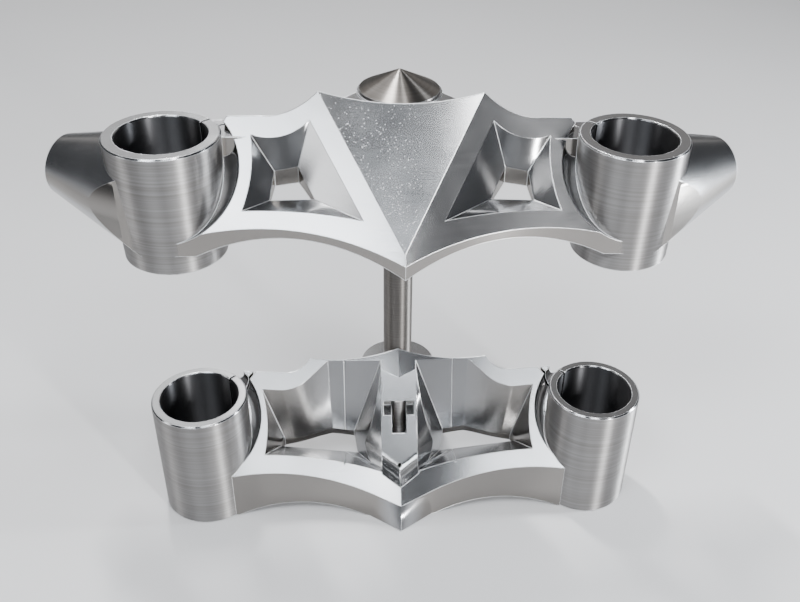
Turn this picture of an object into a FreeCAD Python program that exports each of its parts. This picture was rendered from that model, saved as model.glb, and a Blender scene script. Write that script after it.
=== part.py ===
"""Motorcycle triple clamp: two billet fork clamps on one steering stem.

Axes: X across the fork, Y to the rear, Z up along the steering axis.
Origin: on the steering axis, level with the bottoms of the lower hubs.
Each clamp is drawn in its own frame, with Y measured from the line through
its two fork bores, and is then set ahead of the steering axis. The upper
clamp's heights are measured from the rims of its hubs.
"""
import FreeCAD, Part
import math
import os
import re
import Sketcher

os.makedirs("parts", exist_ok=True)
doc = FreeCAD.newDocument("TripleClamp")

# Driving sizes: name, value in millimetres or degrees, meaning
SIZES = (
    ("fork_half_spacing", 131.0, "steering axis to fork bore axis, across"),
    ("fork_offset", 62.0, "steering axis to the line of the fork bores, forward"),
    ("bore_radius", 24.5, "fork tube radius in both clamps"),
    ("hub_radius", 30.6, "outside radius of the lower hubs"),
    ("upper_hub_top", 31.9, "outside radius of the upper hubs at their rims"),
    ("upper_hub_foot", 29.2, "outside radius of the upper hubs at their feet"),
    ("hub_chamfer", 0.9, "chamfer on the rims of the hubs"),
    ("upper_rim_height", 271.7, "upper hub rims above the ground plane"),
    ("upper_hub_height", 72.7, "height of the upper hubs"),
    ("lower_hub_height", 86.2, "height of the lower hubs"),
    ("upper_tip", 56.1, "point of the upper clamp ahead of the bores"),
    ("upper_front_end", 112.0, "end of the upper front curve, across"),
    ("upper_front_wall", 29.3, "upper front wall ahead of the bores, at the hub"),
    ("upper_front_bow", 7.7, "hollow of the upper front wall"),
    ("upper_rear_hub", 22.8, "upper rear wall behind the bores, at the hub"),
    ("upper_waist_across", 80.0, "start of the upper rear notch, across"),
    ("upper_waist_back", 16.5, "start of the upper rear notch, behind the bores"),
    ("upper_notch_bow", 3.5, "hollow of the upper rear notch"),
    ("crest_across", 47.0, "corner of the crest, across"),
    ("crest_back", 22.7, "corner of the crest, behind the bores"),
    ("crest_middle", 17.0, "middle of the crest, behind the bores"),
    ("crest_bow", 1.4, "hollow of the crest"),
    ("upper_drop", 60.0, "lowest point of the upper arms below the rims"),
    ("upper_face_rise", 2.9, "upper arm face above the rims at the middle"),
    ("upper_face_sweep", 10.94, "upper arm face turned outward, degrees"),
    ("upper_face_tilt", 44.4, "upper arm face from level, degrees"),
    ("facet_drop", 3.14, "centre facet below the rims at the middle"),
    ("facet_tilt", 40.13, "centre facet from level, degrees"),
    ("arch_radius", 186.0, "radius of the underside arches"),
    ("upper_arch_across", 40.0, "crown of the upper underside arch, across"),
    ("upper_arch_drop", 29.7, "crown of the upper underside arch below the rims"),
    ("upper_arch_tilt", 24.2, "underside of the upper arms from level, degrees"),
    ("upper_pocket_depth", 13.0, "sloped part of the upper pocket"),
    ("upper_cove_radius", 44.0, "edge of the cove round the upper hub"),
    ("upper_cove_out", 3.0, "cove centre outboard of the upper hub"),
    ("upper_cove_tool", 9.0, "ball that cuts the upper cove"),
    ("upper_cove_lift", 2.5, "centre of that ball above the arm face"),
    ("neck_half_width", 47.0, "rear neck of the upper clamp, half width"),
    ("neck_front", 8.0, "front of the neck behind the bores"),
    ("neck_back", 60.0, "rear edge of the neck behind the bores"),
    ("neck_waist", 26.0, "half width of the neck at its rear edge"),
    ("neck_side", 36.0, "end of the neck's straight sides behind the bores"),
    ("neck_thickness", 34.0, "thickness of the rear neck"),
    ("boss_rise", 0.8, "stem boss top above the upper rims"),
    ("upper_boss_radius", 26.0, "stem boss of the upper clamp"),
    ("upper_boss_height", 40.0, "height of the upper stem boss"),
    ("ear_drop", 5.5, "upper pinch ears below the rims"),
    ("ear_height", 34.0, "height of the upper pinch ears"),
    ("ear_back", 31.0, "rear face of the upper pinch ears behind the bores"),
    ("ear_front", 8.0, "front of the upper pinch ears behind the bores"),
    ("ear_inner", 84.0, "inboard end of the upper pinch ears, across"),
    ("ear_outer", 116.0, "outboard end of the upper pinch ears, across"),
    ("ear_flat_reach", 116.4, "edge of the lowered flat, across plus back"),
    ("upper_slit_angle", 40.0, "upper pinch slit from the bore line, degrees"),
    ("lower_slit_angle", 45.0, "lower pinch slit from the bore line, degrees"),
    ("slit_width", 1.5, "width of the pinch slits"),
    ("upper_slit_reach", 47.0, "end of the upper slits from the bore axis"),
    ("lower_slit_reach", 47.0, "end of the lower slits from the bore axis"),
    ("stub_length", 70.0, "end of the bar stub from the bore axis"),
    ("stub_end_radius", 18.2, "bar stub at its end"),
    ("stub_root_radius", 38.8, "bar stub cone at the bore axis"),
    ("stub_half_width", 29.6, "bar stub flats from its middle"),
    ("stub_sweep", 26.1, "bar stub swept back, degrees"),
    ("stub_rise", 3.1, "bar stub raised, degrees"),
    ("stub_drop", 37.0, "bar stub axis below the rims at the bore axis"),
    ("stub_top_gap", 1.5, "top of the bar stub below the rims"),
    ("stub_bottom", 63.5, "bottom of the bar stub below the rims"),
    ("bar_bore_radius", 11.2, "bar bore in the end of the stub"),
    ("bar_bore_depth", 30.0, "depth of the bar bore"),
    ("lower_tip", 34.7, "point of the lower clamp ahead of the bores"),
    ("lower_prow", 9.1, "foot of the lower point ahead of its top"),
    ("prow_across", 22.5, "end of the lower prow, across"),
    ("prow_back", 28.0, "end of the lower prow ahead of the bores"),
    ("prow_fade", 0.5, "end of the lower prow, inside the arm wall"),
    ("prow_root", 20.0, "root of the lower prow ahead of the bores"),
    ("lower_front_end", 110.3, "end of the lower front curve, across"),
    ("lower_front_wall", 24.1, "lower front wall ahead of the bores, at the hub"),
    ("lower_front_bow", 4.9, "hollow of the lower front wall"),
    ("lower_rear_hub", 31.4, "lower rear wall behind the bores, at the hub"),
    ("lower_waist_across", 76.2, "start of the lower rear notch, across"),
    ("lower_waist_back", 33.0, "start of the lower rear notch, behind the bores"),
    ("lower_notch_bow", 1.7, "hollow of the lower rear notch"),
    ("lower_corner_across", 61.7, "rear corner of the lower clamp, across"),
    ("lower_corner_back", 41.8, "rear corner of the lower clamp, behind the bores"),
    ("lower_apex", 51.0, "rear point of the lower clamp behind the bores"),
    ("lower_rear_bow", 3.0, "hollow of the lower rear wall"),
    ("lower_face_rise", 42.6, "lower arm face above the ground plane, middle"),
    ("lower_face_sweep", -8.3, "lower arm face turned inward, degrees"),
    ("lower_face_tilt", 39.27, "lower arm face from level, degrees"),
    ("lower_arch_across", 64.0, "crown of the lower underside arch, across"),
    ("lower_arch_rise", 16.7, "crown of the lower underside arch above ground"),
    ("lower_arch_tilt", 23.7, "underside of the lower arms from level, degrees"),
    ("lower_pocket_depth", 37.0, "sloped part of the lower pocket"),
    ("lower_cove_radius", 46.5, "edge of the cove round the lower hub"),
    ("lower_cove_out", 9.0, "cove centre outboard of the lower hub"),
    ("lower_cove_shift", 6.5, "cove centre rearward of the lower hub"),
    ("lower_cove_tool", 7.0, "ball that cuts the lower cove"),
    ("lower_cove_lift", 1.5, "centre of that ball above the arm face"),
    ("lower_boss_radius", 26.3, "stem boss of the lower clamp"),
    ("lower_boss_height", 64.0, "height of the lower stem boss"),
    ("scoop_half_width", 12.4, "half width of the scooped spine at its foot"),
    ("scoop_ridge_shift", 6.0, "foot of the scoop set forward in the middle"),
    ("slot_half_width", 10.8, "half length of the spine's cross slot"),
    ("scoop_tilt", 50.0, "spine scoop from level, degrees"),
    ("scoop_run", 46.0, "reach of the scoop's straight slope, in plan"),
    ("scoop_centre_back", -9.5, "lowest line of the scoop behind the bores"),
    ("scoop_bottom", 26.4, "lowest line of the scoop above ground"),
    ("scoop_foot_radius", 15.0, "hollow at the foot of the spine"),
    ("slot_top", 58.1, "top of the spine's cross slot above ground"),
    ("slot_height", 7.6, "height of the spine's cross slot"),
    ("slot_back", 29.0, "back of the cross slot behind the bores"),
    ("niche_half_width", 5.0, "half width of the spine's niche"),
    ("niche_back", 32.4, "back of the spine's niche behind the bores"),
    ("niche_front", 9.7, "front lip of the niche behind the bores"),
    ("niche_floor", 29.7, "floor of the spine's niche above ground"),
    ("pin_radius", 4.6, "round pin in the spine's niche"),
    ("pin_back", 27.4, "axis of the round pin behind the bores"),
    ("foot_hole_radius", 1.2, "small hole at the foot of the spine"),
    ("foot_hole_front", 4.6, "small hole ahead of the bores"),
    ("foot_hole_depth", 8.0, "depth of the small hole"),
    ("stem_radius", 10.0, "steering stem"),
    ("stem_thread_radius", 7.0, "threaded end of the stem"),
    ("stem_thread_length", 7.0, "length of the threaded end"),
    ("stem_chamfer", 0.8, "chamfer on the ends of the stem"),
    ("nut_radius", 24.5, "cap nut at its rim"),
    ("nut_rim", 1.4, "height of the cap nut's rim"),
    ("nut_height", 13.7, "height of the cap nut"),
    ("nut_edge", 0.5, "chamfer round the foot of the cap nut"),
    ("nut_tip_radius", 0.9, "rounded tip of the cap nut"),
    ("nut_hole_depth", 7.6, "threaded hole in the cap nut"),
    ("screw_radius", 3.0, "pinch screw shank"),
    ("screw_head_radius", 5.0, "pinch screw head"),
    ("screw_head_height", 6.0, "pinch screw head height"),
    ("screw_head_edge", 0.5, "chamfer on the screw head"),
    ("socket_radius", 2.9, "key socket, centre to corner"),
    ("socket_depth", 3.2, "depth of the key socket"),
    ("head_clearance", 0.5, "clearance round the screw head"),
    ("screw_reach", 36.2, "pinch screw axis from the bore axis"),
    ("screw_grip", 5.5, "ear thickness under the screw head"),
    ("screw_bite", 15.0, "thread of the pinch screw past the slit"),
    ("upper_screw_high", -13.0, "upper clamp, high screw from the rims"),
    ("upper_screw_low", -30.0, "upper clamp, low screw from the rims"),
    ("lower_screw_high", 54.0, "lower clamp, high screw above ground"),
    ("lower_screw_low", 36.0, "lower clamp, low screw above ground"),
)

# Corners of the pockets in plan, right half: across, back, then a point that
# curves the side after the corner, where it is curved
POCKETS = {
    "upper_top": ((21.9, -35.0, 55.8, -27.2), (88.8, -22.5, 83.8, -6.9),
                  (84.5, 9.0, 68.0, 6.0), (51.5, 10.9)),
    "upper_hole": ((49.4, -13.9), (74.4, -11.3), (71.9, 0.8), (58.5, 1.0)),
    "lower_top": ((12.0, -17.2, 51.5, -12.3), (91.1, -12.0, 89.7, 5.5), (93.8, 22.9),
                  (80.0, 23.0, 71.5, 25.0), (63.0, 29.8), (49.3, 41.1), (12.3, 43.4)),
    "lower_hole": ((29.3, 13.5), (82.8, 14.3), (80.2, 18.4), (73.5, 19.2, 66.8, 20.4),
                   (60.0, 22.2), (47.0, 26.0), (31.6, 25.5)),
}

sizes = doc.addObject("Spreadsheet::Sheet", "Sizes")
row = 0


def store(alias, value, meaning):
    """Put one size in the sheet under its name."""
    global row
    row += 1
    sizes.set("A%d" % row, meaning)
    sizes.set("B%d" % row, str(value))
    sizes.setAlias("B%d" % row, alias)


for alias, value, meaning in SIZES:
    store(alias, value, meaning)
for title, loop in POCKETS.items():
    for corner, spot in zip("abcdefg", loop):
        for place, value in zip(("across", "back", "bend_across", "bend_back"), spot):
            store("%s_%s_%s" % (title, corner, place), value, "pocket corner in plan")
doc.recompute()

FAR = 300
NO_TURN = "0; 0; 0"


def linked(text):
    """The expression with every size name tied to the sheet."""
    return re.sub(r"\b[a-z]+(_[a-z]+)+\b", lambda name: "Sizes." + name.group(0), text)


def value_of(text):
    """Number that an expression of sizes gives now."""
    return float(sizes.evalExpression(text))


def placed(item, x, y, z, turn=NO_TURN):
    """Tie an item's place in the part to the sizes."""
    item.setExpression("Placement", linked(
        "placement(vector(%s; %s - fork_offset; %s); rotation(%s))" % (x, y, z, turn)))


def new_body(name, level):
    """Body whose origin lies on the bore line at the given level."""
    body = doc.addObject("PartDesign::Body", name)
    placed(body, "0", "0", level)
    return body


def plane_of(body, role):
    """One of the origin planes of a body."""
    return next(item for item in body.Origin.OriginFeatures if item.Role == role)


def circle_through(first, middle, last):
    """Centre and radius of the circle through three points."""
    (ax, ay), (bx, by), (cx, cy) = first, middle, last
    d = 2 * (ax * (by - cy) + bx * (cy - ay) + cx * (ay - by))
    a2, b2, c2 = ax * ax + ay * ay, bx * bx + by * by, cx * cx + cy * cy
    x = (a2 * (by - cy) + b2 * (cy - ay) + c2 * (ay - by)) / d
    y = (a2 * (cx - bx) + b2 * (ax - cx) + c2 * (bx - ax)) / d
    return x, y, math.hypot(ax - x, ay - y)


def pin_point(sketch, geometry, position, point):
    """Tie one point of a sketch to a pair of expressions."""
    for kind, text in zip(("DistanceX", "DistanceY"), point):
        constraint = Sketcher.Constraint(kind, -1, 1, geometry, position, value_of(text))
        index = sketch.addConstraint(constraint)
        sketch.setExpression("Constraints[%d]" % index, linked(text))


def new_sketch(body, name, role, offset="0; 0; 0", turn=NO_TURN):
    """Sketch on an origin plane of its body, moved and turned by the sizes."""
    sketch = body.newObject("Sketcher::SketchObject", name)
    sketch.AttachmentSupport = (plane_of(body, role), [""])
    sketch.MapMode = "FlatFace"
    sketch.setExpression("AttachmentOffset", linked(
        "placement(vector(%s); rotation(%s))" % (offset, turn)))
    return sketch


def arc_through(first, middle, last):
    """Arc through three points, with the positions of its two ends."""
    x, y, radius = circle_through(first, middle, last)
    angles = [math.atan2(p[1] - y, p[0] - x) for p in (first, middle, last)]
    turn = 2 * math.pi
    forward = (angles[1] - angles[0]) % turn < (angles[2] - angles[0]) % turn
    start, end = (angles[0], angles[2]) if forward else (angles[2], angles[0])
    if end < start:
        end += turn
    circle = Part.Circle(FreeCAD.Vector(x, y, 0), FreeCAD.Vector(0, 0, 1), radius)
    return Part.ArcOfCircle(circle, start, end), (1, 2) if forward else (2, 1)


def outline(sketch, corners, bends=None):
    """Closed outline through corners; a bend is a point that curves the side after it."""
    bends = bends or {}
    count = len(corners)
    spots = [tuple(value_of(text) for text in corner) for corner in corners]
    ends = []
    for index in range(count):
        here, there = spots[index], spots[(index + 1) % count]
        if index in bends:
            middle = tuple(value_of(text) for text in bends[index])
            curve, positions = arc_through(here, middle, there)
        else:
            curve = Part.LineSegment(FreeCAD.Vector(*here, 0), FreeCAD.Vector(*there, 0))
            positions = (1, 2)
        ends.append((sketch.addGeometry(curve, False), positions))
    for index, (geometry, positions) in enumerate(ends):
        following, following_positions = ends[(index + 1) % count]
        sketch.addConstraint(Sketcher.Constraint(
            "Coincident", geometry, positions[1], following, following_positions[0]))
        pin_point(sketch, geometry, positions[0], corners[index])
        if index in bends:
            middle = FreeCAD.Vector(*(value_of(text) for text in bends[index]), 0)
            mark = sketch.addGeometry(Part.Point(middle), True)
            pin_point(sketch, mark, 1, bends[index])
            sketch.addConstraint(Sketcher.Constraint("PointOnObject", mark, 1, geometry))
    return sketch


def round_hole(sketch, x, y, radius):
    """Circle with its centre and radius tied to the sizes."""
    centre = FreeCAD.Vector(value_of(x), value_of(y), 0)
    circle = Part.Circle(centre, FreeCAD.Vector(0, 0, 1), value_of(radius))
    geometry = sketch.addGeometry(circle, False)
    pin_point(sketch, geometry, 3, (x, y))
    index = sketch.addConstraint(
        Sketcher.Constraint("Radius", geometry, value_of(radius)))
    sketch.setExpression("Constraints[%d]" % index, linked(radius))


def box_corners(x0, y0, x1, y1):
    """Corners of a rectangle from expressions of its sides."""
    return ((x0, y0), (x1, y0), (x1, y1), (x0, y1))


def grow(body, kind, name, sketch, length):
    """Pad or pocket of a sketch by a length."""
    feature = body.newObject("PartDesign::" + kind, name)
    feature.Profile = sketch
    feature.setExpression("Length", linked(str(length)))
    return feature


def cut_above(body, name, rise, sweep, tilt):
    """Remove everything above a sloped face."""
    sketch = new_sketch(body, name + "Sketch", "XY_Plane", "0; 0; " + rise,
                        "%s; 0; %s" % (sweep, tilt))
    outline(sketch, box_corners("-%d" % FAR, "-%d" % FAR, "%d" % FAR, "%d" % FAR))
    feature = grow(body, "Pocket", name, sketch, FAR)
    feature.Reversed = True


def on_face(point, sweep, tilt):
    """A point given in plan, as expressions in a sloped face."""
    x, y = point
    along = "(%s) * cos(%s) + (%s) * sin(%s)" % (x, sweep, y, sweep)
    up = "((%s) * cos(%s) - (%s) * sin(%s)) / cos(%s)" % (y, sweep, x, sweep, tilt)
    return along, up


def sloped_loop(body, name, rise, sweep, tilt, corners, bends):
    """Outline given in plan and drawn in a sloped face."""
    sketch = new_sketch(body, name, "XY_Plane", "0; 0; " + rise,
                        "%s; 0; %s" % (sweep, tilt))
    return outline(sketch, [on_face(corner, sweep, tilt) for corner in corners],
                   {index: on_face(bend, sweep, tilt) for index, bend in bends.items()})


def loft(body, kind, name, first, second):
    """Straight loft between two outlines."""
    feature = body.newObject("PartDesign::" + kind, name)
    feature.Profile = first
    feature.Sections = [second]
    feature.Ruled = True
    return feature


def arch(body, name, across, height, tilt):
    """Hollow the underside with a long round arch that rises to the rear."""
    shift = "0; -%d * sin(%s); %d * cos(%s)" % (FAR / 2, tilt, FAR / 2, tilt)
    sketch = new_sketch(body, name + "Sketch", "XZ_Plane", shift, "0; 0; " + tilt)
    round_hole(sketch, across, "(%s) * cos(%s) - arch_radius" % (height, tilt),
               "arch_radius")
    grow(body, "Pocket", name, sketch, FAR)


def cove(body, name, rise, sweep, tilt, out, shift, edge, tool, lift):
    """Cut the round channel that frees the hub from the sloped arm face."""
    along, up = on_face(("fork_half_spacing + " + out, shift), sweep, tilt)
    centre = "; ".join((
        "({a}) * cos({s}) - ({u}) * sin({s}) * cos({t}) + {l} * sin({s}) * sin({t})",
        "({a}) * sin({s}) + ({u}) * cos({s}) * cos({t}) - {l} * cos({s}) * sin({t})",
        "{r} + ({u}) * sin({t}) + {l} * cos({t})"))
    centre = centre.format(a=along, u=up, l=lift, s=sweep, t=tilt, r=rise)
    ring = body.newObject("PartDesign::SubtractiveTorus", name)
    ring.AttachmentSupport = (plane_of(body, "XY_Plane"), [""])
    ring.MapMode = "FlatFace"
    ring.setExpression("AttachmentOffset", linked(
        "placement(vector(%s); rotation(%s; 0; %s))" % (centre, sweep, tilt)))
    ring.setExpression("Radius1", linked("%s - sqrt(%s ^ 2 - %s ^ 2)" % (edge, tool, lift)))
    ring.setExpression("Radius2", linked(tool))


def hub(body, bottom, top, foot_radius, rim_radius):
    """Fork hub with chamfered rims, turned about the bore axis."""
    sketch = new_sketch(body, "HubSketch", "XZ_Plane", "fork_half_spacing; 0; 0")
    outline(sketch, (
        ("0", bottom),
        (foot_radius + " - hub_chamfer", bottom),
        (foot_radius, bottom + " + hub_chamfer"),
        (rim_radius, top + " - hub_chamfer"),
        (rim_radius + " - hub_chamfer", top),
        ("0", top)))
    feature = body.newObject("PartDesign::Revolution", "Hub")
    feature.Profile = sketch
    feature.ReferenceAxis = (sketch, ["V_Axis"])
    feature.Angle = 360.0


def fork_bore(body, bottom, top):
    """Fork bore with chamfered mouths."""
    sketch = new_sketch(body, "BoreSketch", "XZ_Plane", "fork_half_spacing; 0; 0")
    outline(sketch, (
        ("0", bottom + " - hub_chamfer"),
        ("bore_radius + 2 * hub_chamfer", bottom + " - hub_chamfer"),
        ("bore_radius", bottom + " + hub_chamfer"),
        ("bore_radius", top + " - hub_chamfer"),
        ("bore_radius + 2 * hub_chamfer", top + " + hub_chamfer"),
        ("0", top + " + hub_chamfer")))
    feature = body.newObject("PartDesign::Groove", "Bore")
    feature.Profile = sketch
    feature.ReferenceAxis = (sketch, ["V_Axis"])
    feature.Angle = 360.0


def pinch(body, angle, reach, high, low):
    """Slit in the hub, with two screw holes across it."""
    sketch = new_sketch(body, "SlitSketch", "XY_Plane",
                        "fork_half_spacing; 0; %d" % (FAR / 2), "180 - %s; 0; 0" % angle)
    outline(sketch, box_corners("bore_radius / 2", "-slit_width / 2", reach,
                                "slit_width / 2"))
    grow(body, "Pocket", "Slit", sketch, FAR)
    for name, depth, radius, length in (
            ("ScrewHole", "-screw_bite", "screw_radius", "screw_bite + screw_grip"),
            ("Counterbore", "screw_grip", "screw_head_radius + head_clearance",
             "2 * screw_head_height")):
        place = "; ".join((
            "fork_half_spacing - screw_reach * cos({a}) + {d} * sin({a})",
            "0",
            "-screw_reach * sin({a}) - {d} * cos({a})")).format(a=angle, d="(%s)" % depth)
        sketch = new_sketch(body, name + "Sketch", "XZ_Plane", place, "0; -%s; 0" % angle)
        round_hole(sketch, "0", high, radius)
        round_hole(sketch, "0", low, radius)
        grow(body, "Pocket", name, sketch, length)


def joined(name, shapes):
    """One solid from several."""
    fusion = doc.addObject("Part::MultiFuse", name)
    fusion.Shapes = shapes
    fusion.Refine = True
    return fusion


def mirrored(source):
    """The left half, as a mirror image of the right half."""
    image = doc.addObject("Part::Mirroring", source.Name + "Left")
    image.Source = source
    image.Normal = (1, 0, 0)
    image.Base = (0, 0, 0)
    return image


def cylinder(name, radius, height, x, y, z, turn=NO_TURN):
    """Round bar tied to the sizes."""
    bar = doc.addObject("Part::Cylinder", name)
    bar.setExpression("Radius", linked(radius))
    bar.setExpression("Height", linked(height))
    placed(bar, x, y, z, turn)
    return bar


def bored(name, base, tools):
    """Solid less its tools, named as a part of the object."""
    result = doc.addObject("Part::Cut", name + "_cut")
    result.Base = base
    result.Tool = tools[0] if len(tools) == 1 else joined(name + "_tools", tools)
    result.Refine = True
    return result


def pocket(body, title, rise, sweep, tilt, depth):
    """Drafted pocket that narrows to a straight hole right through."""
    corners = {}
    bends = {}
    for level in ("top", "hole"):
        names = ["%s_%s_%s" % (title, level, corner)
                 for corner, _ in zip("abcdefg", POCKETS["%s_%s" % (title, level)])]
        corners[level] = [(name + "_across", name + "_back") for name in names]
        bends[level] = {
            index: (names[index] + "_bend_across", names[index] + "_bend_back")
            for index, spot in enumerate(POCKETS["%s_%s" % (title, level)]) if len(spot) > 2}
    mouth = sloped_loop(body, "PocketMouth", rise, sweep, tilt, corners["top"], bends["top"])
    throat = sloped_loop(body, "PocketThroat", "%s - %s" % (rise, depth), sweep, tilt,
                         corners["hole"], bends["hole"])
    loft(body, "SubtractiveLoft", "PocketWalls", mouth, throat)
    sketch = new_sketch(body, "ThroughHoleSketch", "XY_Plane", "0; 0; %s" % rise)
    outline(sketch, corners["hole"], bends["hole"])
    grow(body, "Pocket", "ThroughHole", sketch, FAR)


# Upper clamp, right half
UPPER_FACE = ("upper_face_rise", "upper_face_sweep", "upper_face_tilt")
upper = new_body("UpperHalf", "upper_rim_height")
sketch = new_sketch(upper, "UpperOutline", "XY_Plane", "0; 0; -upper_drop")
outline(sketch, (
    ("0", "-upper_tip"),
    ("upper_front_end", "-upper_front_wall"),
    ("fork_half_spacing", "-upper_front_wall"),
    ("fork_half_spacing", "upper_rear_hub"),
    ("upper_waist_across", "upper_waist_back"),
    ("crest_across", "crest_back"),
    ("0", "crest_middle")), {
    0: ("upper_front_end / 2", "upper_front_bow - (upper_tip + upper_front_wall) / 2"),
    4: ("(upper_waist_across + crest_across) / 2",
        "(upper_waist_back + crest_back) / 2 - upper_notch_bow"),
    5: ("crest_across / 2", "(crest_back + crest_middle) / 2 - crest_bow")})
grow(upper, "Pad", "UpperBlank", sketch, "upper_drop + crest_back")
cut_above(upper, "UpperArmFace", *UPPER_FACE)
cut_above(upper, "CentreFacet", "-facet_drop", "0", "facet_tilt")
arch(upper, "UpperArch", "upper_arch_across", "-upper_arch_drop", "upper_arch_tilt")
pocket(upper, "upper", *UPPER_FACE, "upper_pocket_depth")
cove(upper, "UpperCove", *UPPER_FACE, "upper_cove_out", "0",
     "upper_cove_radius", "upper_cove_tool", "upper_cove_lift")

# Lowered flat and pinch ears behind the upper hub
sketch = new_sketch(upper, "EarFlatSketch", "XY_Plane", "0; 0; -ear_drop")
outline(sketch, (
    ("ear_flat_reach - 2 * ear_back", "2 * ear_back"),
    ("fork_half_spacing", "ear_flat_reach - fork_half_spacing"),
    ("fork_half_spacing", "2 * ear_back")))
grow(upper, "Pocket", "EarFlat", sketch, FAR).Reversed = True
sketch = new_sketch(upper, "EarSketch", "XY_Plane", "0; 0; -ear_drop - ear_height")
outline(sketch, box_corners("ear_inner", "ear_front", "ear_outer", "ear_back"))
grow(upper, "Pad", "Ears", sketch, "ear_height")
hub(upper, "-upper_hub_height", "0", "upper_hub_foot", "upper_hub_top")
fork_bore(upper, "-upper_hub_height", "0")
pinch(upper, "upper_slit_angle", "upper_slit_reach", "upper_screw_high", "upper_screw_low")

# Swept-back bar stub on the outside of the upper hub
STUB_TURN = "stub_sweep; 90 - stub_rise; 0"
cone = doc.addObject("Part::Cone", "StubCone")
cone.setExpression("Radius1", linked("stub_root_radius"))
cone.setExpression("Radius2", linked("stub_end_radius"))
cone.setExpression("Height", linked("stub_length"))
placed(cone, "fork_half_spacing", "0", "upper_rim_height - stub_drop", STUB_TURN)
slab = doc.addObject("Part::Box", "StubSlab")
slab.setExpression("Length", linked("2 * stub_length"))
slab.setExpression("Width", linked("2 * stub_half_width"))
slab.setExpression("Height", linked("stub_bottom - stub_top_gap"))
placed(slab, "fork_half_spacing + stub_half_width * sin(stub_sweep)",
       "-stub_half_width * cos(stub_sweep)", "upper_rim_height - stub_bottom",
       "stub_sweep; 0; 0")
stub_blank = doc.addObject("Part::MultiCommon", "StubBlank")
stub_blank.Shapes = [cone, slab]
hub_room = cylinder("StubHubRoom", "(bore_radius + hub_radius) / 2", "2 * upper_hub_height",
                    "fork_half_spacing", "0", "upper_rim_height - 1.5 * upper_hub_height")
STUB_FLAT_REACH = "(stub_length - bar_bore_depth) * cos(stub_rise)"
bar_bore = cylinder(
    "BarBore", "bar_bore_radius", "2 * bar_bore_depth",
    "fork_half_spacing + %s * cos(stub_sweep)" % STUB_FLAT_REACH,
    "%s * sin(stub_sweep)" % STUB_FLAT_REACH,
    "upper_rim_height - stub_drop + (stub_length - bar_bore_depth) * sin(stub_rise)",
    STUB_TURN)
stub = bored("Stub", stub_blank, [hub_room, bar_bore])

# Rear neck and stem boss of the upper clamp
neck = new_body("Neck", "upper_rim_height")
sketch = new_sketch(neck, "NeckSketch", "XY_Plane", "0; 0; -neck_thickness")
outline(sketch, (
    ("-neck_half_width", "neck_front"),
    ("neck_half_width", "neck_front"),
    ("neck_half_width", "neck_side"),
    ("neck_waist", "neck_back"),
    ("-neck_waist", "neck_back"),
    ("-neck_half_width", "neck_side")))
grow(neck, "Pad", "NeckBlock", sketch, "neck_thickness")
upper_boss = cylinder("UpperBoss", "upper_boss_radius", "upper_boss_height", "0",
                      "fork_offset", "upper_rim_height + boss_rise - upper_boss_height")
right = joined("UpperRight", [upper, stub])
blank = joined("UpperWhole", [right, mirrored(right), neck, upper_boss])
stem_room = cylinder("UpperStemBore", "stem_radius", "2 * upper_boss_height", "0",
                     "fork_offset", "upper_rim_height - 1.5 * upper_boss_height")
upper_clamp = bored("upper_clamp", blank, [stem_room])

# Lower clamp, right half
LOWER_FACE = ("lower_face_rise", "lower_face_sweep", "lower_face_tilt")
lower = new_body("LowerHalf", "0")
sketch = new_sketch(lower, "LowerOutline", "XY_Plane")
outline(sketch, (
    ("0", "-lower_tip"),
    ("prow_across", "-prow_back"),
    ("lower_front_end", "-lower_front_wall"),
    ("fork_half_spacing", "-lower_front_wall"),
    ("fork_half_spacing", "lower_rear_hub"),
    ("lower_waist_across", "lower_waist_back"),
    ("lower_corner_across", "lower_corner_back"),
    ("0", "lower_apex")), {
    1: ("(prow_across + lower_front_end) / 2",
        "lower_front_bow - (prow_back + lower_front_wall) / 2"),
    5: ("(lower_waist_across + lower_corner_across) / 2 - lower_notch_bow / 2",
        "(lower_waist_back + lower_corner_back) / 2 - lower_notch_bow"),
    6: ("lower_corner_across / 2",
        "(lower_corner_back + lower_apex) / 2 - lower_rear_bow")})
grow(lower, "Pad", "LowerBlank", sketch, "lower_hub_height")


def lower_face_at(x, y):
    """Height of the lower arm face at a place in plan."""
    return ("(lower_face_rise + ((%s) * cos(lower_face_sweep) - (%s) * sin(lower_face_sweep))"
            " * tan(lower_face_tilt))" % (y, x))


# Leaning prow at the point of the lower clamp
PROW_SHARE = 1.5
sections = []
for name, across, foot, edge in (
        ("ProwMiddle", "0", "-lower_tip - lower_prow", "-lower_tip"),
        ("ProwEnd", "prow_across", "prow_fade - prow_back", "prow_fade - prow_back")):
    sketch = new_sketch(lower, name, "YZ_Plane", "0; 0; " + across)
    sections.append(outline(sketch, (
        (foot, "0"),
        ("-prow_root", "0"),
        ("-prow_root", "%s * %s" % (lower_face_at(across, "-prow_root"), PROW_SHARE)),
        ("(%s) + ((%s) - (%s)) * %s" % (foot, edge, foot, PROW_SHARE),
         "%s * %s" % (lower_face_at(across, edge), PROW_SHARE)))))
loft(lower, "AdditiveLoft", "Prow", *sections)
cut_above(lower, "LowerArmFace", *LOWER_FACE)
arch(lower, "LowerArch", "lower_arch_across", "lower_arch_rise", "lower_arch_tilt")
pocket(lower, "lower", *LOWER_FACE, "lower_pocket_depth")
cove(lower, "LowerCove", *LOWER_FACE, "lower_cove_out",
     "lower_cove_shift * cos(lower_face_tilt)",
     "lower_cove_radius", "lower_cove_tool", "lower_cove_lift")

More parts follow.
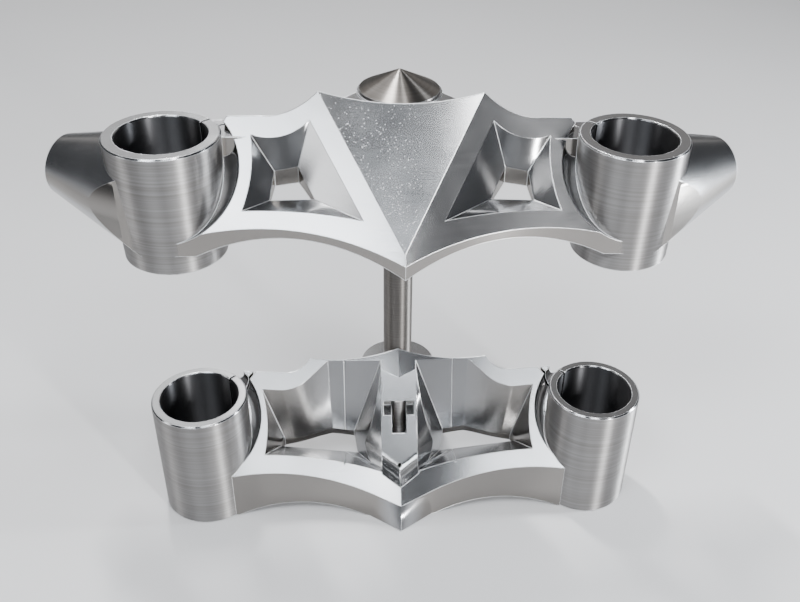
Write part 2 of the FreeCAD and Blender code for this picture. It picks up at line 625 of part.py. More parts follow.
# Scooped face of the spine between the lower pockets; its foot forms a shallow vee
def scoop_section(shift):
    """Scoop seen from the side, set forward along its own slope; its foot is an arc."""
    centre = "(scoop_centre_back - %s)" % shift
    level = "(scoop_bottom - %s * tan(scoop_tilt))" % shift
    foot = ("%s + scoop_foot_radius * sin(scoop_tilt)" % centre,
            "%s + scoop_foot_radius * (1 - cos(scoop_tilt))" % level)
    front = "%s - scoop_foot_radius * sin(scoop_tilt)" % centre
    top = ("%s + scoop_run" % foot[0], "%s + scoop_run * tan(scoop_tilt)" % foot[1])
    return (top, foot, (front, foot[1]), (front, top[1])), {1: (centre, level)}


sections = []
for name, across, shift in (("ScoopMiddle", "0", "scoop_ridge_shift"),
                            ("ScoopEdge", "scoop_half_width", "0")):
    sketch = new_sketch(lower, name, "YZ_Plane", "0; 0; " + across)
    sections.append(outline(sketch, *scoop_section(shift)))
loft(lower, "SubtractiveLoft", "Scoop", *sections)

# Side walls of the spine, from its edges to the rear of the through holes
CLEAR = 0.3
FLANK_ACROSS = "(lower_hole_a_across + lower_hole_f_across) / 2"
MOUTH_BACK = "(lower_top_f_back + lower_top_g_back) / 2"
MOUTH_FRONT = "(lower_top_a_back + lower_top_a_bend_back) / 2"


def flank_line(foot_back, mouth_back):
    """Foot of a pocket wall and a point beyond its mouth, seen from the side."""
    foot = (foot_back, lower_face_at(FLANK_ACROSS, foot_back) + " - lower_pocket_depth")
    mouth = (mouth_back, lower_face_at(FLANK_ACROSS, mouth_back))
    return foot, tuple("(%s) + ((%s) - (%s)) * %s" % (far, far, near, CLEAR)
                       for near, far in zip(foot, mouth))


rear_foot, rear_end = flank_line("lower_hole_f_back", MOUTH_BACK)
front_foot, front_end = flank_line("lower_hole_a_back", MOUTH_FRONT)
flank = new_sketch(lower, "Flank", "YZ_Plane", "0; 0; " + FLANK_ACROSS)
outline(flank, (rear_end, rear_foot, front_foot, front_end))
edge = new_sketch(lower, "FlankEdge", "YZ_Plane", "0; 0; scoop_half_width")
corners, bends = scoop_section("0")
corner_back = "lower_top_a_back"
corner_level = ("scoop_bottom + scoop_foot_radius - sqrt(scoop_foot_radius ^ 2"
                " - (lower_top_a_back - scoop_centre_back) ^ 2)")
outline(edge, (corners[0], corners[1], (corner_back, corner_level),
               (corner_back, corners[0][1])), bends)
loft(lower, "SubtractiveLoft", "SpineSide", edge, flank)

# Cross slot and niche in the spine
sketch = new_sketch(lower, "SlotSketch", "YZ_Plane")
outline(sketch, box_corners("-slot_back", "slot_top - slot_height", "slot_back", "slot_top"))
grow(lower, "Pocket", "CrossSlot", sketch, "slot_half_width").Reversed = True
sketch = new_sketch(lower, "NicheSketch", "YZ_Plane")
outline(sketch, box_corners("niche_front", "niche_floor", "niche_back", "slot_top"))
grow(lower, "Pocket", "Niche", sketch, "niche_half_width").Reversed = True
hub(lower, "0", "lower_hub_height", "hub_radius", "hub_radius")
fork_bore(lower, "0", "lower_hub_height")
pinch(lower, "lower_slit_angle", "lower_slit_reach", "lower_screw_high", "lower_screw_low")

lower_boss = cylinder("LowerBoss", "lower_boss_radius", "lower_boss_height", "0",
                      "fork_offset", "0")
blank = joined("LowerWhole", [lower, mirrored(lower), lower_boss])
stem_room = cylinder("LowerStemBore", "stem_radius", "2 * lower_boss_height", "0",
                     "fork_offset", "-0.5 * lower_boss_height")
foot_hole = cylinder("FootHole", "foot_hole_radius", "2 * foot_hole_depth", "0",
                    "-foot_hole_front", "scoop_bottom - foot_hole_depth")
lower_clamp = bored("lower_clamp", blank, [stem_room, foot_hole])


def turned(name, level, corners, bends=None):
    """Round part turned about its own upright axis."""
    body = doc.addObject("PartDesign::Body", name + "_body")
    sketch = new_sketch(body, name + "_section", "XZ_Plane")
    outline(sketch, corners, bends)
    feature = body.newObject("PartDesign::Revolution", name + "_turning")
    feature.Profile = sketch
    feature.ReferenceAxis = (sketch, ["V_Axis"])
    feature.Angle = 360.0
    if level is not None:
        placed(body, "0", "fork_offset", level)
    return body


# Steering stem, with its threaded end above the upper boss
STEM_TOP = "upper_rim_height + boss_rise"
steering_stem = turned("steering_stem", "0", (
    ("0", "0"),
    ("stem_radius - stem_chamfer", "0"),
    ("stem_radius", "stem_chamfer"),
    ("stem_radius", STEM_TOP),
    ("stem_thread_radius", STEM_TOP),
    ("stem_thread_radius", STEM_TOP + " + stem_thread_length - stem_chamfer"),
    ("stem_thread_radius - stem_chamfer", STEM_TOP + " + stem_thread_length"),
    ("0", STEM_TOP + " + stem_thread_length")))

# Conical cap nut that holds the stem
cap_nut = turned("cap_nut", STEM_TOP, (
    ("stem_thread_radius", "0"),
    ("nut_radius - nut_edge", "0"),
    ("nut_radius", "nut_edge"),
    ("nut_radius", "nut_rim"),
    ("nut_tip_radius", "nut_height - nut_tip_radius / 2"),
    ("0", "nut_height"),
    ("0", "nut_hole_depth"),
    ("stem_thread_radius", "nut_hole_depth")))

# Round pin that stands in the niche of the spine
spine_pin = turned("spine_pin", None, (
    ("0", "niche_floor"),
    ("pin_radius", "niche_floor"),
    ("pin_radius", "slot_top"),
    ("0", "slot_top")))
placed(spine_pin, "0", "pin_back", "0")

# Pinch screws, two to a hub
screws = []
for clamp, rim in (("upper", "upper_rim_height + "), ("lower", "")):
    for side, sign in (("right", ""), ("left", "-")):
        for height in ("high", "low"):
            name = "%s_%s_screw_%s" % (clamp, side, height)
            angle = "%s_slit_angle" % clamp
            screw = turned(name, None, (
                ("0", "-screw_bite"),
                ("screw_radius", "-screw_bite"),
                ("screw_radius", "screw_grip"),
                ("screw_head_radius", "screw_grip"),
                ("screw_head_radius", "screw_grip + screw_head_height - screw_head_edge"),
                ("screw_head_radius - screw_head_edge", "screw_grip + screw_head_height"),
                ("0", "screw_grip + screw_head_height")))
            sketch = new_sketch(screw, name + "_key", "XY_Plane",
                                "0; 0; screw_grip + screw_head_height")
            hexagon = [("socket_radius * cos(%d)" % turn, "socket_radius * sin(%d)" % turn)
                       for turn in range(0, 360, 60)]
            outline(sketch, hexagon)
            grow(screw, "Pocket", name + "_socket", sketch, "socket_depth")
            placed(screw, "%s(fork_half_spacing - screw_reach * cos(%s))" % (sign, angle),
                   "screw_reach * sin(%s)" % angle, "%s%s_screw_%s" % (rim, clamp, height),
                   "90 - %s%s; 90; 0" % (sign, angle))
            screws.append((name, screw))

doc.recompute()

# Named parts of the object
PARTS = [("upper_clamp", upper_clamp), ("lower_clamp", lower_clamp),
         ("steering_stem", steering_stem), ("cap_nut", cap_nut),
         ("spine_pin", spine_pin)] + screws
for item in doc.Objects:
    if "Invalid" in item.State or "Error" in item.State:
        raise ValueError("%s did not build" % item.Name)
for name, item in PARTS:
    if item.Shape.isNull() or not item.Shape.isValid() or not item.Shape.Solids:
        raise ValueError("%s has no sound shape" % name)
    item.Label = name
    item.Shape.exportStep("parts/%s.step" % name)
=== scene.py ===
"""Looks of a motorcycle triple clamp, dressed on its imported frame."""

import math

import bpy
from bpy.props import FloatProperty, FloatVectorProperty, PointerProperty
from mathutils import Matrix, Quaternion, Vector


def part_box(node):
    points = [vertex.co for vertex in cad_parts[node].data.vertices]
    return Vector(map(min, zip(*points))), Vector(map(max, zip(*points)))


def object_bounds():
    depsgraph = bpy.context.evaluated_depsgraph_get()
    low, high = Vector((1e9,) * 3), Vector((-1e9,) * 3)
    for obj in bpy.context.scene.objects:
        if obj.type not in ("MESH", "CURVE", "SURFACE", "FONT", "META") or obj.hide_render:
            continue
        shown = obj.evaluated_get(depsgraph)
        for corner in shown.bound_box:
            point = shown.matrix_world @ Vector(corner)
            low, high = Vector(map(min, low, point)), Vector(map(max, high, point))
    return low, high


bl_info = {
    "name": "Triple Clamp Looks",
    "version": (1, 0, 0),
    "blender": (4, 5, 0),
    "location": "View3D > Sidebar > Triple Clamp",
    "description": "Machined metal finishes, stage and camera for a triple clamp",
    "category": "Object",
}

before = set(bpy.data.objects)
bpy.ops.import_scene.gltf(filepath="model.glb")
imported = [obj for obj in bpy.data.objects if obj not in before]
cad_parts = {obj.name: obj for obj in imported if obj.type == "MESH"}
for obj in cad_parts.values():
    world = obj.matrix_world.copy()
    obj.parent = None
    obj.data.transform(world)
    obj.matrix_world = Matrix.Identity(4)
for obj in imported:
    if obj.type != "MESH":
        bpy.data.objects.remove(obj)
CAD_BOX = [list(corner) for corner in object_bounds()]
LOWER_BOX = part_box("lower_clamp")
STEM_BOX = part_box("steering_stem")
MM = 0.001
UP = (0.0, 0.0, 1.0)

# Hub axis on the right side, read from the outer reach of the lower clamp and from the stem
HUB_RADIUS = 30.6 * MM
BORE_RADIUS = 24.5 * MM
FORK_OFFSET = 62.0 * MM
HUB_ACROSS = LOWER_BOX[1][0] - HUB_RADIUS
HUB_BACK = (STEM_BOX[0][1] + STEM_BOX[1][1]) / 2 - FORK_OFFSET

# Where a hub's turned wall and its bore end, in shares of their radii
HUB_LIMIT = (1.052, 1.046)
BORE_LIMIT = (1.02, 1.01)

# How squarely a turned face looks away from the hub axis
TURNED_MATCH = (0.97, 0.985)

# Bar stub: start of its axis, its direction on the right side, and its taper
STUB_START = (HUB_ACROSS, HUB_BACK, 234.7 * MM)
STUB_AXIS = (0.8967, 0.4393, 0.0541)
STUB_TAPER = 0.294
STUB_MATCH = (0.80, 0.86)
STUB_REACH = (HUB_ACROSS + 2 * MM, HUB_ACROSS + 6 * MM)
STUB_LOWEST = 150.0 * MM

# Patterns, in repeats per metre along each axis or all ways
GRAIN_STRETCH = (40.0, 40.0, 2600.0)
RING_STRETCH = (6.0, 6.0, 900.0)
WANDER_SCALE = 20.0
CLOUD_SCALE = 24.0
FINE_SCALE = 900.0
SPECK_SCALE = 620.0
SPECK_PATCH_SCALE = 130.0
NOISE_MIDDLE = (0.3, 0.7)

# Tool lines: share of the even bands, how far noise bends them, and how they stand out
BAND_SHARE = 0.4
BAND_WANDER = 2.0
LINE_DEPTH = 0.02 * MM
LINE_STRENGTH = 0.16

# Milled faces
MILLED_ROUGHNESS = 0.19
STAIN = 0.12
CLOUD_SHARE = 0.8
# Painted shade on upright walls: its tint, and the span of upward facing over which it comes in
WALL_SHADE_TINT = (0.66, 0.62, 0.57)
WALL_SHADE_SPAN = (0.30, 0.10)

# Turned faces, and the painted shade in the bores
TURNED_DARK = (0.62, 0.59, 0.56)
TURNED_LIGHT = (0.82, 0.795, 0.77)
HUB_ROUGHNESS = 0.43
HUB_ANISOTROPY = 0.95
BORE_SHADE_COLOUR = (0.10, 0.10, 0.105, 1.0)

# Painted edge highlights: where the rounded normal leaves the face, their colour and their dulling
EDGE_LEAN = (0.985, 0.94)
EDGE_HIGHLIGHT_COLOUR = (0.95, 0.96, 0.98, 1.0)
EDGE_ROUGHNESS = 0.3

# Bright specks on the middle facet, mostly on its left
FACET_NORMAL = (0.0, -0.6445, 0.7646)
FACET_MATCH = (0.998, 0.9995)
SPECK_SIZE = (0.20, 0.12)
SPECK_PATCHES = (0.40, 0.52)
SPECK_SPAN = (14.0 * MM, -2.0 * MM)
SPECK_COLOUR = (0.95, 0.96, 1.0, 1.0)
SPECK_ROUGHNESS = 0.35

# Photograph's frame, lens and optical centre, in pixels
PHOTO_WIDTH = 800.0
PHOTO_HEIGHT = 602.0
FOCAL_LENGTH = 951.9
OPTICAL_CENTRE = (452.1, 307.9)

# Lamps over and beside the object: name, place, size, share of the key power, colour, roll
WHITE = (1.0, 1.0, 1.0)
COOL = (0.92, 0.96, 1.0)
WARM = (1.0, 0.95, 0.90)
KEY_LAMPS = (
    ("over_left", (-0.50, -0.69, 1.27), (0.46, 0.34), 1.00, COOL, 0.0),
    ("over_right", (0.245, -0.47, 1.47), (0.11, 0.50), 0.60, WHITE, -19.0),
    ("over_front", (0.11, -0.80, 1.12), (0.34, 0.22), 0.42, COOL, 0.0),
    ("side", (1.25, -0.05, 0.35), (0.14, 0.7), 2.6, COOL, 0.0),
    ("front_right", (0.80, -1.22, 0.50), (0.08, 0.6), 2.2, WHITE, 0.0),
    ("over_nut", (-0.24, 0.45, 1.60), (0.06, 0.34), 2.2, WHITE, 0.0),
)
LAMPS_AIM = (0.0, -0.06, 0.15)
BACK_SHARE = 1.6
SURROUND_COLOUR = (0.62, 0.64, 0.68, 1.0)
SURROUND_STRENGTH = 0.17
FLOOR_REACH = 12.0
FLOOR_GAP = 0.2 * MM
FLOOR_ROUGHNESS = 0.75


# Properties
class FinishSettings(bpy.types.PropertyGroup):
    """Colours and textures of the bare metal."""
    aluminium: FloatVectorProperty(
        name="Aluminium", description="Colour of the milled clamps", subtype="COLOR",
        size=3, min=0.0, max=1.0, default=(0.40, 0.405, 0.415))
    turned: FloatVectorProperty(
        name="Turned", description="Colour of the turned nut", subtype="COLOR",
        size=3, min=0.0, max=1.0, default=(0.33, 0.32, 0.31))
    steel: FloatVectorProperty(
        name="Steel", description="Colour of the steering stem", subtype="COLOR",
        size=3, min=0.0, max=1.0, default=(0.30, 0.295, 0.29))
    pin: FloatVectorProperty(
        name="Pin", description="Colour of the pin of the spine", subtype="COLOR",
        size=3, min=0.0, max=1.0, default=(0.85, 0.86, 0.88))
    screw: FloatVectorProperty(
        name="Screws", description="Colour of the pinch screws", subtype="COLOR",
        size=3, min=0.0, max=1.0, default=(0.42, 0.42, 0.44))
    line_pitch: FloatProperty(
        name="Tool line pitch", description="Distance between the clamps' tool lines",
        unit="LENGTH", subtype="DISTANCE", min=0.0001, max=0.01, default=0.9 * MM)
    edge: FloatProperty(
        name="Edge break", description="Radius of the clamps' broken edges",
        unit="LENGTH", subtype="DISTANCE", min=0.0, max=0.005, default=0.7 * MM)


class StageSettings(bpy.types.PropertyGroup):
    """Floor, lights and camera."""
    floor: FloatVectorProperty(
        name="Floor", description="Colour of the plain floor", subtype="COLOR",
        size=3, min=0.0, max=1.0, default=(0.66, 0.66, 0.67))
    key_power: FloatProperty(
        name="Key lamps", description="Power that the key lamps take their shares of",
        unit="POWER", subtype="POWER", min=0.0, default=9.0)
    fill_power: FloatProperty(
        name="Fill light", description="Power of the fill light", unit="POWER",
        subtype="POWER", min=0.0, default=3.0)
    high_power: FloatProperty(
        name="High light", description="Power of the broad light behind the object",
        unit="POWER", subtype="POWER", min=0.0, default=45.0)
    camera_place: FloatVectorProperty(
        name="Camera", description="Place of the camera", subtype="XYZ", unit="LENGTH",
        size=3, default=(-0.01882, -0.5475, 0.4964))
    yaw: FloatProperty(
        name="Yaw", description="Camera turned to the right", subtype="ANGLE",
        default=0.104)
    pitch: FloatProperty(
        name="Pitch", description="Camera turned down", subtype="ANGLE", default=0.6112)
    roll: FloatProperty(
        name="Roll", description="Camera rolled about its view", subtype="ANGLE",
        default=0.0483)


# Node tools
class Graph:
    """Short calls for the nodes of one material."""

    def __init__(self, name):
        self.material = bpy.data.materials.new(name)
        self.material.use_nodes = True
        self.tree = self.material.node_tree
        self.tree.nodes.clear()

    def node(self, kind, settings=None, **inputs):
        """New node; settings are its own attributes, inputs its sockets."""
        made = self.tree.nodes.new(kind)
        for key, value in (settings or {}).items():
            setattr(made, key, value)
        for key, value in inputs.items():
            self.feed(made, key.replace("_", " "), value)
        return made

    def feed(self, node, socket, value):
        """Set a socket, or link it where the value is another node's output."""
        target = node.inputs[int(socket)] if socket.isdigit() else node.inputs[socket]
        if isinstance(value, bpy.types.NodeSocket):
            self.tree.links.new(value, target)
        else:
            target.default_value = value

    def place(self):
        """Place on the object, in metres."""
        return self.node("ShaderNodeTexCoord").outputs["Object"]

    def parts(self, vector):
        """The three parts of a vector."""
        return self.node("ShaderNodeSeparateXYZ", None, Vector=vector).outputs

    def join(self, first, second, third):
        """Vector made of three parts."""
        return self.node("ShaderNodeCombineXYZ", None, X=first, Y=second, Z=third).outputs[0]

    def maths(self, operation, first, second=0.0):
        """Result of one arithmetic step."""
        made = self.node("ShaderNodeMath", {"operation": operation})
        self.feed(made, "0", first)
        self.feed(made, "1", second)
        return made.outputs[0]

    def vector(self, operation, first, second=(0.0, 0.0, 0.0)):
        """Result of one vector step."""
        made = self.node("ShaderNodeVectorMath", {"operation": operation})
        self.feed(made, "0", first)
        self.feed(made, "1", second)
        return made.outputs["Value"] if operation in ("LENGTH", "DOT_PRODUCT") else made.outputs[0]

    def noise(self, vector, scale=1.0, detail=2.0, roughness=0.5):
        """Soft random pattern from 0 to 1."""
        made = self.node("ShaderNodeTexNoise", None, Vector=vector, Scale=scale,
                         Detail=detail, Roughness=roughness)
        return made.outputs[0]

    def spread(self, value, span, low=0.0, high=1.0):
        """Value moved from a span to another range, and held inside it."""
        made = self.node("ShaderNodeMapRange", {"clamp": True})
        for index, item in enumerate((value, *span, low, high)):
            self.feed(made, str(index), item)
        return made.outputs[0]

    def blend(self, share, first, second):
        """Colour between two colours."""
        made = self.node("ShaderNodeMix", {"data_type": "RGBA"})
        self.feed(made, "0", share)
        self.feed(made, "6", first)
        self.feed(made, "7", second)
        return made.outputs[2]

    def choose(self, share, first, second):
        """Vector between two vectors."""
        made = self.node("ShaderNodeMix", {"data_type": "VECTOR"})
        self.feed(made, "0", share)
        self.feed(made, "4", first)
        self.feed(made, "5", second)
        return made.outputs[1]

    def close(self, shader):
        """Material that ends in a shader."""
        self.node("ShaderNodeOutputMaterial", None, Surface=shader.outputs[0])
        return self.material


def shade(colour, factor):
    """Colour made darker or lighter, opaque."""
    return tuned(colour, (factor, factor, factor))


def tuned(colour, factors):
    """Colour with each channel scaled by its own factor, opaque."""
    return tuple(channel * factor for channel, factor in zip(colour, factors)) + (1.0,)


# Parts of the metal
class Surface:
    """Readings of a metal surface that its finish is made from."""

    def __init__(self, name, edge):
        graph = Graph(name)
        self.graph = graph
        self.place = graph.place()
        self.across, _, self.high = graph.parts(self.place)
        self.facing = graph.node("ShaderNodeNewGeometry").outputs["Normal"]
        self.rounded = graph.node("ShaderNodeBevel", {"samples": 8}, Radius=edge).outputs[0]
        self.grain = graph.noise(graph.vector("MULTIPLY", self.place, GRAIN_STRETCH),
                                 detail=3.0, roughness=0.6)
        self.cloud = graph.noise(self.place, CLOUD_SCALE, 4.0, 0.6)

    def tool_lines(self, pitch):
        """Height of the tool lines: fine level bands, broken by noise."""
        graph = self.graph
        wander = graph.noise(self.place, WANDER_SCALE)
        height = graph.maths("MULTIPLY", self.high, 2 * math.pi / pitch)
        height = graph.maths("ADD", height, graph.maths("MULTIPLY", wander, BAND_WANDER))
        bands = graph.maths("SINE", height)
        return graph.maths("ADD", graph.maths("MULTIPLY", bands, BAND_SHARE), self.grain)

    def milled_colour(self, colour):
        """Soft stains on milled metal, and painted shade that makes upright walls duller and
        warmer.
        """
        graph = self.graph
        fine = graph.noise(self.place, FINE_SCALE, 2.0, 0.7)
        tone = graph.maths("ADD", graph.maths("MULTIPLY", self.cloud, CLOUD_SHARE),
                           graph.maths("MULTIPLY", fine, 1.0 - CLOUD_SHARE))
        tone = graph.spread(tone, NOISE_MIDDLE)
        sloped = graph.blend(tone, shade(colour, 1.0 - STAIN), shade(colour, 1.0 + STAIN / 3))
        # Painted shade: upright walls are blended towards a darker, warmer colour
        lift = graph.maths("ABSOLUTE", graph.parts(self.facing)[2])
        return graph.blend(graph.spread(lift, WALL_SHADE_SPAN), sloped, tuned(colour, WALL_SHADE_TINT))

    def turned_colour(self, colour):
        """Darker metal in rings of uneven polish."""
        graph = self.graph
        rings = graph.noise(graph.vector("MULTIPLY", self.place, RING_STRETCH), roughness=0.7)
        rings = graph.spread(rings, NOISE_MIDDLE)
        return graph.blend(rings, tuned(colour, TURNED_DARK), tuned(colour, TURNED_LIGHT))

    def dulled(self, polish):
        """Roughness that follows the grain and the stains."""
        graph = self.graph
        rough = graph.maths("MULTIPLY", polish, graph.spread(self.grain, (0.2, 0.8), 0.9, 1.12))
        return graph.maths("ADD", rough, graph.spread(self.cloud, (0.35, 0.75), 0.0, 0.05))

    def burnished(self, colour, rough):
        """Colour and roughness with painted highlights on the edges."""
        graph = self.graph
        edges = graph.vector("DOT_PRODUCT", self.rounded, self.facing)
        edges = graph.spread(edges, EDGE_LEAN)
        rough = graph.maths("ADD", rough, graph.maths("MULTIPLY", edges, EDGE_ROUGHNESS))
        # Painted highlight: the edges are blended towards a bright colour
        return graph.blend(edges, colour, EDGE_HIGHLIGHT_COLOUR), rough

    def nicked(self, colour, rough):
        """Colour and roughness with the bright specks of the middle facet."""
        graph = self.graph
        cells = graph.node("ShaderNodeTexVoronoi", {"feature": "F1"}, Vector=self.place,
                           Scale=SPECK_SCALE).outputs["Distance"]
        patches = graph.noise(self.place, SPECK_PATCH_SCALE, 1.0)
        facet = graph.vector("DOT_PRODUCT", self.facing, FACET_NORMAL)
        speck = graph.spread(cells, SPECK_SIZE)
        for mask, span in ((patches, SPECK_PATCHES), (facet, FACET_MATCH),
                           (self.across, SPECK_SPAN)):
            speck = graph.maths("MULTIPLY", speck, graph.spread(mask, span))
        rough = graph.maths("ADD", rough, graph.maths("MULTIPLY", speck, SPECK_ROUGHNESS))
        return graph.blend(speck, colour, SPECK_COLOUR), rough

    def metal(self, colour, rough, lines, along, anisotropy):
        """Material of bare metal whose gloss runs across its tool lines."""
        graph = self.graph
        shader = graph.node("ShaderNodeBsdfPrincipled", None, Metallic=1.0, Roughness=rough,
                            Normal=lines.outputs[0], Base_Color=colour,
                            Tangent=graph.vector("NORMALIZE", along))
        shader.inputs["Anisotropic"].default_value = anisotropy
        # A quarter turn from the lines' own direction
        shader.inputs["Anisotropic Rotation"].default_value = 0.25
        return graph.close(shader)


def turned_metal(name, colour, roughness, anisotropy, pitch, edge, depth=LINE_DEPTH):
    """Metal turned or ground all over, with its lines round the steering axis."""
    surface = Surface(name, edge)
    graph = surface.graph
    along = graph.vector("CROSS_PRODUCT", UP, surface.place)
    lines = graph.node("ShaderNodeBump", None, Strength=LINE_STRENGTH, Distance=depth,
                       Height=surface.tool_lines(pitch), Normal=surface.rounded)
    body_colour, rough = surface.burnished(surface.turned_colour(colour),
                                           surface.dulled(roughness))
    return surface.metal(body_colour, rough, lines, along, anisotropy)


def clamp_metal(name, finish, nicked):
    """Milled metal with turned hubs, painted shade in the bores and smooth cones on the bar stubs.
    """
    surface = Surface(name, finish.edge)
    graph = surface.graph
    facing = surface.facing

    # Place from the nearest hub axis, seen from above
    across = graph.maths("MULTIPLY", graph.maths("SIGN", surface.across), -HUB_ACROSS)
    local = graph.vector("ADD", surface.place, graph.join(across, -HUB_BACK, 0.0))
    flat = graph.vector("MULTIPLY", local, (1.0, 1.0, 0.0))
    reach = graph.vector("LENGTH", flat)

    # Turned where the face looks straight away from the hub axis, milled elsewhere
    outward = graph.vector("DOT_PRODUCT", graph.vector("NORMALIZE", flat), facing)
    outward = graph.maths("ABSOLUTE", outward)
    near = graph.spread(reach, [HUB_RADIUS * share for share in HUB_LIMIT])
    turned = graph.maths("MULTIPLY", graph.spread(outward, TURNED_MATCH), near)

    # Tool lines run round the axis on turned faces and level on milled ones
    level = graph.vector("CROSS_PRODUCT", UP, facing)
    level = graph.vector("ADD", level, (0.001, 0.0, 0.0))
    along = graph.choose(turned, level, graph.vector("CROSS_PRODUCT", UP, flat))
    lines = graph.node("ShaderNodeBump", None, Distance=LINE_DEPTH,
                       Strength=graph.maths("MULTIPLY", turned, LINE_STRENGTH),
                       Height=surface.tool_lines(finish.line_pitch),
                       Normal=stub_normal(surface, near))

    polish = graph.spread(turned, (0.0, 1.0), MILLED_ROUGHNESS, HUB_ROUGHNESS)
    body_colour = graph.blend(turned, surface.milled_colour(finish.aluminium),
                              surface.turned_colour(finish.aluminium))
    body_colour, rough = surface.burnished(body_colour, surface.dulled(polish))

    # Painted shade: the bores are coloured dark for the dark of their own depth
    inside = graph.spread(reach, [BORE_RADIUS * share for share in BORE_LIMIT])
    body_colour = graph.blend(inside, body_colour, BORE_SHADE_COLOUR)
    if nicked:
        body_colour, rough = surface.nicked(body_colour, rough)
    return surface.metal(body_colour, rough, lines, along, HUB_ANISOTROPY)


def stub_normal(surface, near):
    """Normal of the bar stub's cone, carried over the narrow flats on its sides."""
    graph = surface.graph
    flip = graph.join(graph.maths("SIGN", surface.across), 1.0, 1.0)
    local = graph.vector("SUBTRACT", graph.vector("MULTIPLY", surface.place, flip), STUB_START)
    along = graph.vector("DOT_PRODUCT", local, STUB_AXIS)
    axis = graph.vector("MULTIPLY", graph.join(along, along, along), STUB_AXIS)
    radial = graph.vector("NORMALIZE", graph.vector("SUBTRACT", local, axis))
    cone = graph.vector("ADD", radial, tuple(STUB_TAPER * part for part in STUB_AXIS))
    cone = graph.vector("NORMALIZE", graph.vector("MULTIPLY", cone, flip))

    # Only outboard of a hub, on the upper clamp, and where the cone and the face nearly agree
    share = graph.spread(graph.vector("DOT_PRODUCT", cone, surface.facing), STUB_MATCH)
    outboard = graph.spread(graph.maths("ABSOLUTE", surface.across), STUB_REACH)
    share = graph.maths("MULTIPLY", share, outboard)
    share = graph.maths("MULTIPLY", share, graph.maths("SUBTRACT", 1.0, near))
    upper = graph.maths("GREATER_THAN", surface.high, STUB_LOWEST)
    share = graph.maths("MULTIPLY", share, upper)
    return graph.choose(share, surface.rounded, cone)


def dress(nodes, material):
    """Give CAD nodes one material."""
    for node in nodes:
        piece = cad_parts[node]
        if not piece.material_slots:
            piece.data.materials.append(material)
        for slot in piece.material_slots:
            slot.material = material


# Operators of the pieces
class CLAMP_OT_clamps(bpy.types.Operator):
    """Dress the two milled clamps in bare aluminium"""
    bl_idname = "clamp.clamps"
    bl_label = "Clamps"
    bl_options = {"REGISTER", "UNDO"}

    def execute(self, context):
        for node in ("upper_clamp", "lower_clamp"):
            dress([node], clamp_metal(node + "_aluminium", context.scene.clamp_finish,
                                      nicked=node == "upper_clamp"))
        return {"FINISHED"}


class CLAMP_OT_stem(bpy.types.Operator):
    """Dress the steering stem and the pin of the spine in ground steel"""
    bl_idname = "clamp.stem"
    bl_label = "Stem and pin"
    bl_options = {"REGISTER", "UNDO"}

    def execute(self, context):
        finish = context.scene.clamp_finish
        dress(["steering_stem"], turned_metal(
            "ground_steel", finish.steel, roughness=0.5, anisotropy=0.92,
            pitch=0.5 * MM, edge=0.3 * MM))
        dress(["spine_pin"], turned_metal(
            "bright_steel", finish.pin, roughness=0.35, anisotropy=0.8,
            pitch=0.5 * MM, edge=0.3 * MM))
        return {"FINISHED"}


class CLAMP_OT_nut(bpy.types.Operator):
    """Dress the conical cap nut in turned aluminium"""
    bl_idname = "clamp.nut"
    bl_label = "Cap nut"
    bl_options = {"REGISTER", "UNDO"}

    def execute(self, context):
        dress(["cap_nut"], turned_metal(
            "turned_nut", context.scene.clamp_finish.turned, roughness=0.34,
            anisotropy=0.95, pitch=0.4 * MM, edge=0.4 * MM, depth=0.01 * MM))
        return {"FINISHED"}


class CLAMP_OT_screws(bpy.types.Operator):
    """Dress the pinch screws in satin steel"""
    bl_idname = "clamp.screws"
    bl_label = "Pinch screws"
    bl_options = {"REGISTER", "UNDO"}

    def execute(self, context):
        screws = [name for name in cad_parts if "screw" in name]
        dress(screws, turned_metal(
            "screw_steel", context.scene.clamp_finish.screw, roughness=0.34,
            anisotropy=0.3, pitch=0.5 * MM, edge=0.25 * MM))
        return {"FINISHED"}


# Stage
def soft_light(name, place, size, power, colour=WHITE, roll=0.0):
    """Rectangular lamp that looks at the object, rolled by some degrees."""
    light = bpy.data.lights.new(name, "AREA")
    light.shape = "RECTANGLE"
    light.size, light.size_y = size
    light.energy = power
    light.color = colour
    lamp = bpy.data.objects.new(name, light)
    bpy.context.collection.objects.link(lamp)
    lamp.location = place
    turn = (Vector(LAMPS_AIM) - Vector(place)).to_track_quat("-Z", "Y")
    turn = turn @ Quaternion(UP, math.radians(roll))
    lamp.rotation_euler = turn.to_euler()


def floor_material(colour):
    """Plain matt floor with a very faint change of tone."""
    graph = Graph("pale_floor")
    tone = graph.spread(graph.noise(graph.place(), 3.0), NOISE_MIDDLE)
    paint = graph.blend(tone, shade(colour, 0.985), shade(colour, 1.015))
    return graph.close(graph.node("ShaderNodeBsdfPrincipled", None, Base_Color=paint,
                                  Roughness=FLOOR_ROUGHNESS))


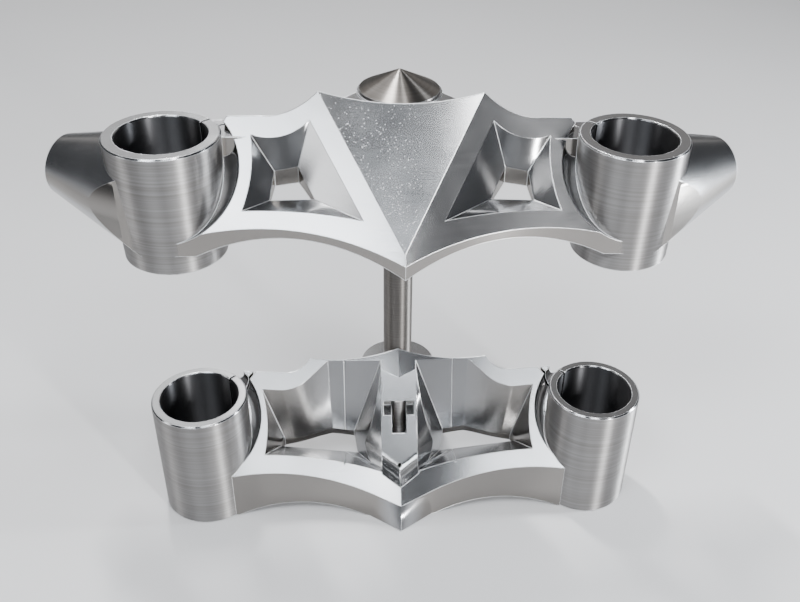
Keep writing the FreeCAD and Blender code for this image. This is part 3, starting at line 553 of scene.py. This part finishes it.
class CLAMP_OT_stage(bpy.types.Operator):
    """Set the floor, the lights and the camera"""
    bl_idname = "clamp.stage"
    bl_label = "Stage"
    bl_options = {"REGISTER", "UNDO"}

    def execute(self, context):
        stage = context.scene.clamp_stage
        self.lay_floor(context, stage)
        self.hang_lights(context, stage)
        self.place_camera(context, stage)
        return {"FINISHED"}

    def lay_floor(self, context, stage):
        """Broad plain floor just under the lower clamp."""
        mesh = bpy.data.meshes.new("floor")
        corners = [(FLOOR_REACH * x, FLOOR_REACH * y, 0.0)
                   for x, y in ((-1, -1), (1, -1), (1, 1), (-1, 1))]
        mesh.from_pydata(corners, [], [(0, 1, 2, 3)])
        floor = bpy.data.objects.new("floor", mesh)
        context.collection.objects.link(floor)
        floor.location.z = CAD_BOX[0][2] - FLOOR_GAP
        mesh.materials.append(floor_material(stage.floor))

    def hang_lights(self, context, stage):
        """Soft lamps round the object and a dim even surround."""
        for name, place, size, share, colour, roll in KEY_LAMPS:
            soft_light(name, place, size, stage.key_power * share, colour, roll)
        soft_light("fill", (-1.2, -0.4, 0.5), (0.3, 0.7), stage.fill_power)
        soft_light("back", (0.0, 1.9, 1.35), (3.4, 1.0), stage.fill_power * BACK_SHARE, WARM)
        soft_light("high", (-1.2, 2.4, 3.4), (2.5, 2.5), stage.high_power)
        world = bpy.data.worlds.new("surround")
        world.use_nodes = True
        ground = world.node_tree.nodes["Background"]
        ground.inputs["Color"].default_value = SURROUND_COLOUR
        ground.inputs["Strength"].default_value = SURROUND_STRENGTH
        context.scene.world = world

    def place_camera(self, context, stage):
        """Camera at the photographer's place."""
        yaw, pitch, roll = stage.yaw, stage.pitch, stage.roll
        ahead = Vector((math.sin(yaw) * math.cos(pitch), math.cos(yaw) * math.cos(pitch),
                        -math.sin(pitch)))
        right = Vector((math.cos(yaw), -math.sin(yaw), 0.0))
        above = right.cross(ahead)
        right, above = (right * math.cos(roll) + above * math.sin(roll),
                        above * math.cos(roll) - right * math.sin(roll))
        lens = bpy.data.cameras.new("camera")
        lens.sensor_width = 36.0
        lens.lens = FOCAL_LENGTH * lens.sensor_width / PHOTO_WIDTH
        lens.shift_x = (PHOTO_WIDTH / 2 - OPTICAL_CENTRE[0]) / PHOTO_WIDTH
        lens.shift_y = (OPTICAL_CENTRE[1] - PHOTO_HEIGHT / 2) / PHOTO_WIDTH
        camera = bpy.data.objects.new("camera", lens)
        context.collection.objects.link(camera)
        turn = Matrix((right, above, -ahead)).transposed().to_4x4()
        camera.matrix_world = Matrix.Translation(Vector(stage.camera_place)) @ turn
        context.scene.camera = camera


class CLAMP_PT_panel(bpy.types.Panel):
    """Panel that lists the pieces and the stage"""
    bl_label = "Triple Clamp"
    bl_idname = "CLAMP_PT_panel"
    bl_space_type = "VIEW_3D"
    bl_region_type = "UI"
    bl_category = "Triple Clamp"

    def draw(self, context):
        layout = self.layout
        for operator in OPERATORS:
            layout.operator(operator.bl_idname)
        for settings in (context.scene.clamp_finish, context.scene.clamp_stage):
            for key in settings.__annotations__:
                layout.prop(settings, key)


OPERATORS = (CLAMP_OT_stage, CLAMP_OT_clamps, CLAMP_OT_stem, CLAMP_OT_nut, CLAMP_OT_screws)
CLASSES = (FinishSettings, StageSettings) + OPERATORS + (CLAMP_PT_panel,)


def register():
    """Add the classes and the settings."""
    for item in CLASSES:
        bpy.utils.register_class(item)
    bpy.types.Scene.clamp_finish = PointerProperty(type=FinishSettings)
    bpy.types.Scene.clamp_stage = PointerProperty(type=StageSettings)


def unregister():
    """Remove the settings and the classes."""
    del bpy.types.Scene.clamp_finish
    del bpy.types.Scene.clamp_stage
    for item in reversed(CLASSES):
        bpy.utils.unregister_class(item)


def main():
    """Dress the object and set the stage."""
    register()
    bpy.ops.clamp.stage()
    bpy.ops.clamp.clamps()
    bpy.ops.clamp.stem()
    bpy.ops.clamp.nut()
    bpy.ops.clamp.screws()


if __name__ == "__main__":
    main()
